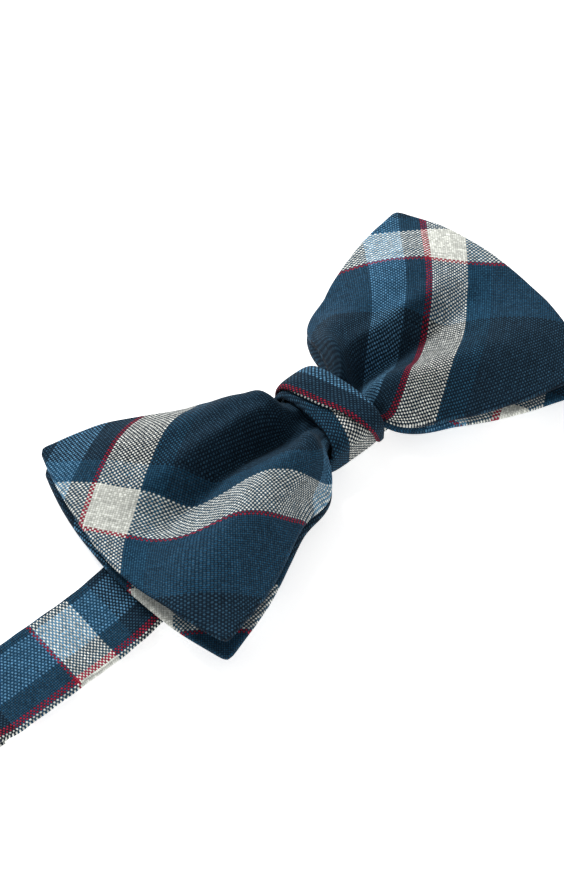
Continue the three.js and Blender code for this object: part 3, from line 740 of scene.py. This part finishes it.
blade("front_blade", FRONT_RISES, FRONT_SEAT_Z, {-1: (0, 0), 1: (0, 0)}, True, 0.4,
      ["front_blade_face", "front_blade_back", "front_blade_interlining"])
blade("rear_blade", REAR_RISES, REAR_SEAT_Z, {-1: (21.6, 6.6), 1: (-38, 22.7)}, False, 2.1,
      ["rear_blade_face", "rear_blade_back", "rear_blade_interlining"])


# ---- strips that run along a bent line ----------------------------------------------------

class SideLine:
    """A line in X and Z, drawn from bends and straights, with a point about every step."""

    def __init__(self, x, z, step=0.35):
        self.points = [np.array([x, z], float)]
        self.step = step

    def curve(self, make, length):
        count = max(2, int(length / self.step))
        self.points += [make(k / count) for k in range(1, count + 1)]
        return self

    def to(self, x, z):
        start, end = self.points[-1], np.array([x, z], float)
        return self.curve(lambda t: start + (end - start) * t, np.linalg.norm(end - start))

    def ramp(self, x, z):
        start, end = self.points[-1], np.array([x, z], float)
        return self.curve(lambda t: start + (end - start) * [t, smooth(t)], np.linalg.norm(end - start))

    def arc(self, x, z, radius, start, end):
        def place(t):
            angle = start + (end - start) * t
            return np.array([x + radius * math.cos(angle), z + radius * math.sin(angle)])
        return self.curve(place, 3 * abs(end - start) * radius)


def line_normals(line):
    ahead = np.gradient(line, axis=0)
    ahead /= np.linalg.norm(ahead, axis=1, keepdims=True)
    return np.column_stack([-ahead[:, 1], ahead[:, 0]])


def run_length(line):
    return np.concatenate([[0], np.cumsum(np.linalg.norm(np.diff(line, axis=0), axis=1))])


def band_sway(x):
    return SWAY * smooth((SWAY_START - x) / (SWAY_START - SWAY_END))


SLIP = 1.3
SLIP_START, SLIP_END = -134.0, 34.0


def slip(line):
    """The lower layer lies a little to one side of the upper."""
    x, z = line[:, :1], line[:, 1:]
    lower = z < HALF_BAND + 0.1
    return SLIP * smooth((x - SLIP_START) / 14) * smooth((SLIP_END - x) / 20) * lower


def flat_strap(line, width, thickness, roll, aside, steps_across=26):
    """Closed flat strap along a side line, with folded edges. The function aside moves it in Y."""
    line = np.asarray(line)
    normals = line_normals(line)
    run = run_length(line)
    across = crowded(steps_across, 0.3)
    inside = np.minimum.outer(np.minimum(run, run[-1] - run), np.full(steps_across, 1e3))
    half_width = np.broadcast_to(width, run.shape)[:, None] / 2
    inside = np.minimum(inside, (1 - np.abs(across))[None, :] * half_width)
    lift = np.broadcast_to(thickness, run.shape)[:, None] / 2 * edge_profile(inside, roll)
    pucker = 0.05 * np.sin(run * 0.9)[:, None] * (np.abs(across) ** 6)[None, :]
    grids = []
    for sign in (1, -1):
        offset = sign * lift
        x = line[:, :1] + normals[:, :1] * offset
        z = line[:, 1:] + normals[:, 1:] * offset
        y = aside(line) + across[None, :] * half_width + pucker
        grids.append(np.stack([x, np.broadcast_to(y, x.shape), z], axis=-1))
    return grids, run, across


# ---- neckband -----------------------------------------------------------------------------

BAND_RED_Y = 1.8
BAND_STRIPE_X = -86.9
HEM_LENGTH = 15.0
EYE_RUN = 8.0
EYE_RAMP = 12.0
RISE_CLEARANCE = 3.5
TAIL_START = 5.0
LIGHT_STRIPE_START = -19.8
STRIPES_CLOSER_BY = 0.15


def band_line():
    eye_x, eye_z = eye_pivot[0], eye_pivot[2]
    hook_x, hook_z = hook_pivot[0], hook_pivot[2]
    fold_radius = (TUNNEL_Z - HALF_BAND) / 2
    fold_z = (TUNNEL_Z + HALF_BAND) / 2
    fold_x = band_high[0] - fold_radius - HALF_BAND
    quarter = math.pi / 2
    rise_x = eye_x - EYE_LENGTH - RISE_CLEARANCE
    line = SideLine(eye_x + HEM_LENGTH, UPPER_BAND_Z).to(eye_x, UPPER_BAND_Z)
    line.arc(eye_x, eye_z, TURN_RADIUS, -quarter, -3 * quarter)
    line.to(eye_x + EYE_RUN, EYE_RUN_Z).ramp(eye_x + EYE_RUN + EYE_RAMP, UPPER_BAND_Z)
    line.to(-TUNNEL_HALF_LENGTH - RAMP_LENGTH, UPPER_BAND_Z).ramp(-TUNNEL_HALF_LENGTH, TUNNEL_Z)
    line.to(fold_x, TUNNEL_Z).arc(fold_x, fold_z, fold_radius, quarter, -quarter)
    line.to(rise_x, HALF_BAND).ramp(rise_x - RAMP_LENGTH, UPPER_RUN_Z).to(hook_x, UPPER_RUN_Z)
    line.arc(hook_x, hook_z, HOOK_TURN_RADIUS, quarter, 3 * quarter)
    return line.to(hook_x + TAIL_START, HALF_BAND).points


def band_weft(across):
    """Place across the cloth of a point across the band. The last stripes lie a little closer."""
    b = WEFT_RED - BAND_RED_Y + BAND_WIDTH / 2 * (across + 1)
    return b - STRIPES_CLOSER_BY * np.maximum(b - LIGHT_STRIPE_START, 0)


def neckband():
    line = np.array(band_line())
    (top, under), run, across = flat_strap(
        line, BAND_WIDTH, BAND_THICKNESS, HALF_BAND, lambda line: band_sway(line[:, :1]) + slip(line))
    upper_run = run[np.argmin(np.abs(line[:, 0] - BAND_STRIPE_X) + 9 * (line[:, 1] > 3))]
    a = np.broadcast_to((run - upper_run)[:, None] + WARP_RED, top.shape[:2])
    b = band_weft(across)
    cloth = np.stack([a, np.broadcast_to(b[None, :], top.shape[:2])], axis=-1)
    points, faces, inner = pillow(top, under)
    all_cloth = np.vstack([cloth.reshape(-1, 2), cloth[inner]])
    piece = make_piece("neckband", points, faces, "plaid_cotton", "neckband",
                       ["neckband_sleeve", "neckband_interlining"], all_cloth)


neckband()


# ---- knot ---------------------------------------------------------------------------------

CROWN_POWER = 3
BACK_POWER = 12
ARCH_Z = FRONT_SEAT_Z - 0.6
WRAP_INNER_HALF = float((wrap_high[1] - wrap_low[1]) / 2) - WRAP_CLOTH
WRAP_INNER_TOP = float(wrap_high[2]) - WRAP_CLOTH


def arch(angle, half, top, bottom, centre_y):
    """Point of a knot loop in Y and Z: square at the back, a rounded crown at the front."""
    c, s = np.cos(angle), np.sin(angle)
    power = np.where(s > 0, CROWN_POWER, BACK_POWER)
    reach = (np.abs(c) ** power + np.abs(s) ** power) ** (-1 / power)
    height = np.where(s > 0, top - ARCH_Z, ARCH_Z - bottom)
    return np.column_stack([centre_y + half * c * reach, ARCH_Z + height * s * reach])


def evened(angles, loop, count):
    """The same stretch of loop in equal steps."""
    dense = np.linspace(angles[0], angles[1], 2000)
    run = run_length(loop(dense))
    return np.interp(np.linspace(0, run[-1], count), run, dense)


def wound_strip(angles, loop, x_edges, thickness, roll, crown, count=170, steps=44):
    stops = evened(angles, loop, count)
    line = loop(stops)
    normals = -line_normals(line)
    run = run_length(line)
    across = crowded(steps, 0.4)
    low, high = x_edges(stops)
    x = (low + high)[:, None] / 2 + (high - low)[:, None] / 2 * across[None, :]
    from_ends = np.minimum(run, run[-1] - run)[:, None]
    inside = np.minimum(from_ends, (1 - np.abs(across)) * (high - low)[:, None] / 2)
    half = thickness / 2 * edge_profile(inside, roll)
    hug = 0.5 * np.abs(across) ** 5
    base = thickness / 2 + crown(x) - hug
    grids = []
    for sign in (1, -1):
        offset = base + sign * half
        y = line[:, :1] + normals[:, :1] * offset
        z = line[:, 1:] + normals[:, 1:] * offset
        grids.append(np.stack([x, y, z], axis=-1))
    return grids, run, x


def knot_piece(name, strip, cloth_of, replaced, slot="plaid_cotton"):
    (top, under), run, x = strip
    a, b = cloth_of(run[:, None] + 0 * x, x)
    points, faces, inner = pillow(top, under)
    cloth = np.stack([a, b], axis=-1)
    all_cloth = np.vstack([cloth.reshape(-1, 2), cloth[inner]])
    piece = make_piece(name, points, faces, slot, "bow", replaced, all_cloth)
    length = run[-1] * MM
    area = float(np.mean(np.ptp(x, axis=1))) * MM * length
    return piece


# Places round the knot are in half turns from +Y, or in shares of a strip's length.
CROWN_WAIST = 2.4
SEAM_HALF_GAP = 0.9
WRAP_TUCK_ROUND = [0, 0.12, 0.5, 0.62]
WRAP_TUCK = [0, 3.2, 1.92, 0]
WRAP_WARP_END = 31.0
WRAP_WEFT_MIDDLE = 41.1
WRAP_SKEW_SHARES = [0, 0.25, 0.5, 0.72, 1]
WRAP_SKEW = [14, 12, 2.2, 0, 0]
OVERLAP_ROUND = [-0.2, 0.12, 0.32, 0.5, 0.69, 0.85, 1.2]
OVERLAP_LEFT = [-5.6, -5.2, -4.4, -2.5, 0.8, 3.2, 6.2]
OVERLAP_RIGHT = [4, 4.9, 5.9, 7.1, 7.7, 7.9, 7.9]
OVERLAP_END = 1.14
OVERLAP_WARP_START = -22.0
RED_EDGE = 0.9
PADDING_INSET = 1.8
PADDING_ROUND = (0.02 * math.pi, 0.98 * math.pi)


def knot():
    half_width = KNOT_WIDTH / 2
    padding_low, padding_high = box_mm("knot_padding")

    def wrap_loop(angle):
        return arch(angle, WRAP_INNER_HALF, WRAP_INNER_TOP, WRAP_BOTTOM_Z + WRAP_CLOTH, KNOT_CENTRE_Y)

    def overlap_loop(angle):
        step = WRAP_CLOTH + GAP
        return arch(angle, WRAP_INNER_HALF + step, WRAP_INNER_TOP + step, WRAP_BOTTOM_Z - GAP, KNOT_CENTRE_Y)

    seam = math.asin(SEAM_HALF_GAP / WRAP_INNER_HALF)

    def wrap_edges(angle):
        tucked = np.interp(angle / math.pi, WRAP_TUCK_ROUND, WRAP_TUCK)
        return -half_width + CROWN_WAIST * np.maximum(0, np.sin(angle)), half_width - tucked

    def overlap_edges(angle):
        turn = angle / math.pi
        return through(OVERLAP_ROUND, OVERLAP_LEFT, turn), through(OVERLAP_ROUND, OVERLAP_RIGHT, turn)

    wrap = wound_strip(
        (-math.pi / 2 + seam, 1.5 * math.pi - seam), wrap_loop, wrap_edges, WRAP_CLOTH, 0.5,
        lambda x: 0 * x)
    def wrap_cloth(run, x):
        skew = np.interp(run / run.max(), WRAP_SKEW_SHARES, WRAP_SKEW)
        return run - run.max() + WRAP_WARP_END, x + WRAP_WEFT_MIDDLE - skew

    knot_piece("knot_wrap_cloth", wrap, wrap_cloth, ["knot_wrap"])

    overlap = wound_strip(
        (OVERLAP_ROUND[0] * math.pi, OVERLAP_END * math.pi), overlap_loop, overlap_edges,
        OVERLAP_CLOTH, 0.4, lambda x: 0.5 * (1 - (2 * x / KNOT_WIDTH) ** 2))

    def overlap_cloth(run, x):
        inset = 0.1 + 1.15 * np.sin(math.pi * run / run.max()) ** 2
        inner = x - x[:, :1]
        weft = WEFT_RED - inset + inner + 0.5 * np.minimum(inner, RED_EDGE)
        return run + OVERLAP_WARP_START, weft

    knot_piece("knot_overlap_cloth", overlap, overlap_cloth, ["knot_overlap"])

    def padding_edges(angle):
        low, high = wrap_edges(angle)
        return low + PADDING_INSET, high - PADDING_INSET

    def padding_loop(angle):
        half = (padding_high[1] - padding_low[1]) / 2 - PADDING
        centre_y = (padding_high[1] + padding_low[1]) / 2
        return arch(angle, half, padding_high[2] - PADDING, WRAP_BOTTOM_Z, centre_y)

    padding = wound_strip(
        PADDING_ROUND, padding_loop, padding_edges, PADDING, PADDING / 2, lambda x: 0 * x)
    knot_piece("knot_padding_felt", padding, lambda run, x: (run, x), ["knot_padding"], "interlining")


knot()


# ---- threads ------------------------------------------------------------------------------

def gather_coil():
    low, high = box_mm("gather_thread")
    radius = THREAD / 2
    turns = max(2, round((high[0] - low[0] - THREAD) / THREAD_PITCH))
    angle = np.linspace(0, 2 * math.pi * turns, 90 * turns)
    loop = arch(angle, high[1] - radius, high[2] - radius, low[2] + radius, 0.0)
    x = low[0] + radius + (high[0] - low[0] - THREAD) * angle / angle[-1]
    points, faces = sweep(np.column_stack([x, loop]), ring(radius), (1, 0, 0))
    make_piece("gather_coil", points, faces, "sewing_thread", "bow", ["gather_thread"])


def closing_ladder():
    low, high = box_mm("knot_closing_stitch")
    radius = (high[2] - low[2]) / 2
    middle = (low + high) / 2
    swing = (0, (high[1] - low[1]) / 2 - radius, 0)
    start, end = (low[0] + radius, middle[1], middle[2]), (high[0] - radius, middle[1], middle[2])
    points, faces = sweep(zigzag(start, end, swing, 8, 0), ring(radius))
    make_piece("knot_closing_ladder", points, faces, "sewing_thread", "bow", ["knot_closing_stitch"])


TACK_THREAD = 0.4
TACK_SWING = 0.9
TACK_TURNS = 15
TACK_DIP = 0.3


def bar_tack(name, node, body, height):
    """A row of close zigzag stitches in place of a plain sewn bar."""
    low, high = box_mm(node)
    x = (low[0] + high[0]) / 2
    ends = (x, low[1], height), (x, high[1], height)
    points, faces = sweep(zigzag(*ends, (TACK_SWING, 0, 0), TACK_TURNS, TACK_DIP), ring(TACK_THREAD / 2, 8))
    make_piece(name, points, faces, "sewing_thread", body, [node])


gather_coil()
closing_ladder()
bar_tack("eye_hem_stitches", "eye_hem_seam", "neckband", EYE_RUN_Z + HALF_BAND + 0.1)


# ---- adjuster -----------------------------------------------------------------------------

SLIDER_BAR_Z = float(slider_low[2]) + SHEET_METAL / 2
OUTER_BAR_Z = float(slider_high[2]) - SHEET_METAL / 2
HALF_SLIDER = float(slider_high[0] - slider_low[0]) / 2
SLIDER_BAR = 1.0
TAB_REACH = 11.0
TAB_SEWN_Z = BAND_THICKNESS + TAB_CLOTH / 2 + 0.1


def rounded_loop(x_low, x_high, half_y, radius, count):
    """Closed path round a rectangle in X and Y, with rounded corners and even steps."""
    turns = [
        (x_high - radius, half_y - radius, 0), (x_low + radius, half_y - radius, 90),
        (x_low + radius, radius - half_y, 180), (x_high - radius, radius - half_y, 270),
    ]
    corners = []
    for x, y, start in turns:
        for k in range(9):
            angle = math.radians(start + 90 * k / 8)
            corners.append((x + radius * math.cos(angle), y + radius * math.sin(angle)))
    corners = np.array([*corners, corners[0]])
    run = run_length(corners)
    stops = np.linspace(0, run[-1], count + 1)[:-1]
    x, y = (np.interp(stops, run, corners[:, axis]) for axis in (0, 1))
    return np.column_stack([x, y, 0 * stops])


def slider():
    middle = RAIL_INSIDE + RAIL / 2
    path = rounded_loop(-HALF_SLIDER + RAIL / 2, HALF_SLIDER - RAIL / 2, middle, 1.0, 260)
    dip = smooth((4.9 - np.abs(path[:, 0])) / 4.2)
    path[:, 2] = OUTER_BAR_Z + (SLIDER_BAR_Z - OUTER_BAR_Z) * dip
    frame_bar = sweep(path, softened_bar(RAIL, SHEET_METAL, 0.3), closed=True)
    ends = [(0, -middle, SLIDER_BAR_Z), (0, 0, SLIDER_BAR_Z), (0, middle, SLIDER_BAR_Z)]
    middle_bar = sweep(ends, ring(SLIDER_BAR / 2, 20))
    points, faces = gathered([frame_bar, middle_bar])
    make_piece("slider_frame", points + [SLIDER_X, SWAY, 0], faces, "plated_metal", "slider", ["band_slider"])


def tail_and_tab():
    """The band's end: it comes back from the hook, turns round the slider's bar and is sewn down."""
    hook_x = hook_pivot[0]
    turn = (SLIDER_BAR + TAB_CLOTH) / 2 + 0.25
    line = SideLine(hook_x + 2, HALF_BAND).to(SLIDER_X - 7, HALF_BAND)
    line.ramp(SLIDER_X - 3, SLIDER_BAR_Z - turn).to(SLIDER_X, SLIDER_BAR_Z - turn)
    line.arc(SLIDER_X, SLIDER_BAR_Z, turn, -math.pi / 2, math.pi / 2)
    line.to(SLIDER_X - 2, SLIDER_BAR_Z + turn).ramp(SLIDER_X - 7, TAB_SEWN_Z)
    line.to(SLIDER_X - TAB_REACH, TAB_SEWN_Z)
    line = np.array(line.points)
    run = run_length(line)
    thickness = np.interp(run, [0, 11, 16, run[-1]], [1.44, 1.44, TAB_CLOTH, TAB_CLOTH])
    (top, under), run, across = flat_strap(
        line, BAND_WIDTH - 0.6, thickness, TAB_CLOTH / 2, lambda line: SWAY)
    a = np.broadcast_to(run[:, None] + 30, top.shape[:2])
    b = np.broadcast_to(band_weft(across)[None, :], top.shape[:2])
    cloth = np.stack([a, b], axis=-1)
    points, faces, inner = pillow(top, under)
    all_cloth = np.vstack([cloth.reshape(-1, 2), cloth[inner]])
    piece = make_piece("band_tail", points, faces, "plaid_cotton", None, ["slider_tab"], all_cloth)
    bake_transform(piece)


slider()
tail_and_tab()
bar_tack("slider_tab_stitches", "slider_tab_seam", "slider", TAB_SEWN_Z + TAB_CLOTH / 2 + 0.08)


# ---- eye and hook -------------------------------------------------------------------------

HOOK_PLATE_LENGTH = 6.0
HOOK_TONGUE_WIDTH = 7.0
HOOK_TONGUE_LENGTH = 6.0
TONGUE_TURN = 1.4


def eye():
    path = rounded_loop(-EYE_LENGTH, 0, RAIL_INSIDE + WIRE / 2, 1.1, 220)
    points, faces = sweep(path, ring(WIRE / 2, 20), closed=True)
    drop = math.asin((eye_pivot[2] - BAND_THICKNESS - GAP - WIRE / 2) / EYE_LENGTH)
    make_piece("eye_loop", tilted(points, drop, eye_pivot), faces, "plated_metal", "eye", ["band_eye"])


def hook_outline(plate_start, plate_end):
    """Half of the plate's outline, from its nose to the inside of one arm."""
    nose = HOOK_TONGUE_WIDTH / 2
    start = np.array([plate_end, nose])
    pull = np.array([plate_end, RAIL_OUTSIDE - 1])
    end = np.array([plate_start - 2, RAIL_OUTSIDE])
    t = np.linspace(0, 1, 16)[:, None]
    shoulder = start * (1 - t) ** 2 + 2 * pull * t * (1 - t) + end * t * t
    return [*shoulder, (0.3, RAIL_OUTSIDE), (0.3, RAIL_INSIDE), (plate_start, RAIL_INSIDE)]


def hook():
    plate_start = -(HOOK_TURN_RADIUS + HALF_BAND + 0.6)
    plate_end = plate_start - HOOK_PLATE_LENGTH
    half = hook_outline(plate_start, plate_end)
    outline = [(x, -y) for x, y in half] + [(x, y) for x, y in half[::-1]]
    plate = stamped(outline, SHEET_METAL, 0.25)
    ends = [(0, -RAIL_OUTSIDE, 0), (0, 0, 0), (0, RAIL_OUTSIDE, 0)]
    bar = sweep(ends, ring(HOOK_BAR / 2, 20))
    tip_x = plate_end - HOOK_TONGUE_LENGTH
    line = SideLine(plate_end + 1, 0, 0.2).to(tip_x, 0)
    line.arc(tip_x, TONGUE_TURN, TONGUE_TURN, 1.5 * math.pi, 0.5 * math.pi)
    line = np.array(line.to(plate_end - 1, 2 * TONGUE_TURN - 0.3).points)
    run = run_length(line)
    width = HOOK_TONGUE_WIDTH - 1.6 * smooth(run / run[-1])
    (top, under), run, across = flat_strap(line, width, SHEET_METAL - 0.02, 0.3, lambda line: 0.0)
    points, faces, inner = pillow(top, under)
    points, faces = gathered([plate, bar, (points, faces)])
    drop = math.asin((hook_pivot[2] - SHEET_METAL / 2 - 0.35) / -tip_x)
    make_piece("hook_plate", tilted(points, drop, hook_pivot), faces, "plated_metal", "hook", ["band_hook"])


eye()
hook()


# ---- camera, light and floor --------------------------------------------------------------

VIEW_AZIMUTH = math.radians(41)
VIEW_ELEVATION = math.radians(54)
VIEW_DISTANCE = 0.42
VIEW_AIM = Vector((-0.010, 0.0045, 0.0))
LENS = 70.0


def add_camera():
    camera = bpy.data.objects.new("camera", bpy.data.cameras.new("camera"))
    bpy.context.scene.collection.objects.link(camera)
    ahead = Vector((
        math.sin(VIEW_AZIMUTH) * math.cos(VIEW_ELEVATION),
        math.cos(VIEW_AZIMUTH) * math.cos(VIEW_ELEVATION),
        -math.sin(VIEW_ELEVATION),
    ))
    camera.location = VIEW_AIM - ahead * VIEW_DISTANCE
    camera.rotation_euler = ahead.to_track_quat("-Z", "Y").to_euler()
    camera.data.lens = LENS
    camera.data.clip_start = 0.01
    bpy.context.scene.camera = camera


def add_light(name, azimuth, elevation, distance, size, power, tint=(1, 1, 1)):
    """A square softbox aimed at the bow. Azimuth is the way it faces from, as on a compass."""
    light = bpy.data.lights.new(name, "AREA")
    light.size = size
    light.energy = power
    light.color = tint
    lamp = bpy.data.objects.new(name, light)
    bpy.context.scene.collection.objects.link(lamp)
    a, e = math.radians(azimuth), math.radians(elevation)
    towards = Vector((math.sin(a) * math.cos(e), math.cos(a) * math.cos(e), math.sin(e)))
    lamp.location = towards * distance
    lamp.rotation_euler = (-towards).to_track_quat("-Z", "Y").to_euler()


def add_floor():
    mesh = bpy.data.meshes.new("floor")
    reach = 3.0
    height = min(0.0, cad_bounds[0][2])
    corners = [(x * reach, y * reach, height) for x, y in ((-1, -1), (1, -1), (1, 1), (-1, 1))]
    mesh.from_pydata(corners, [], [(0, 1, 2, 3)])
    mesh.materials.append(backdrop())
    floor = bpy.data.objects.new("floor", mesh)
    bpy.context.scene.collection.objects.link(floor)


def add_sky(strength):
    world = bpy.data.worlds.new("studio")
    world.use_nodes = True
    world.node_tree.nodes["Background"].inputs[0].default_value = (1, 1, 1, 1)
    world.node_tree.nodes["Background"].inputs[1].default_value = strength
    bpy.context.scene.world = world


add_camera()
add_floor()
add_sky(0.42)
add_light("key", 2, 47, 0.9, 0.35, 7.0)
bpy.context.scene.view_settings.view_transform = "Standard"
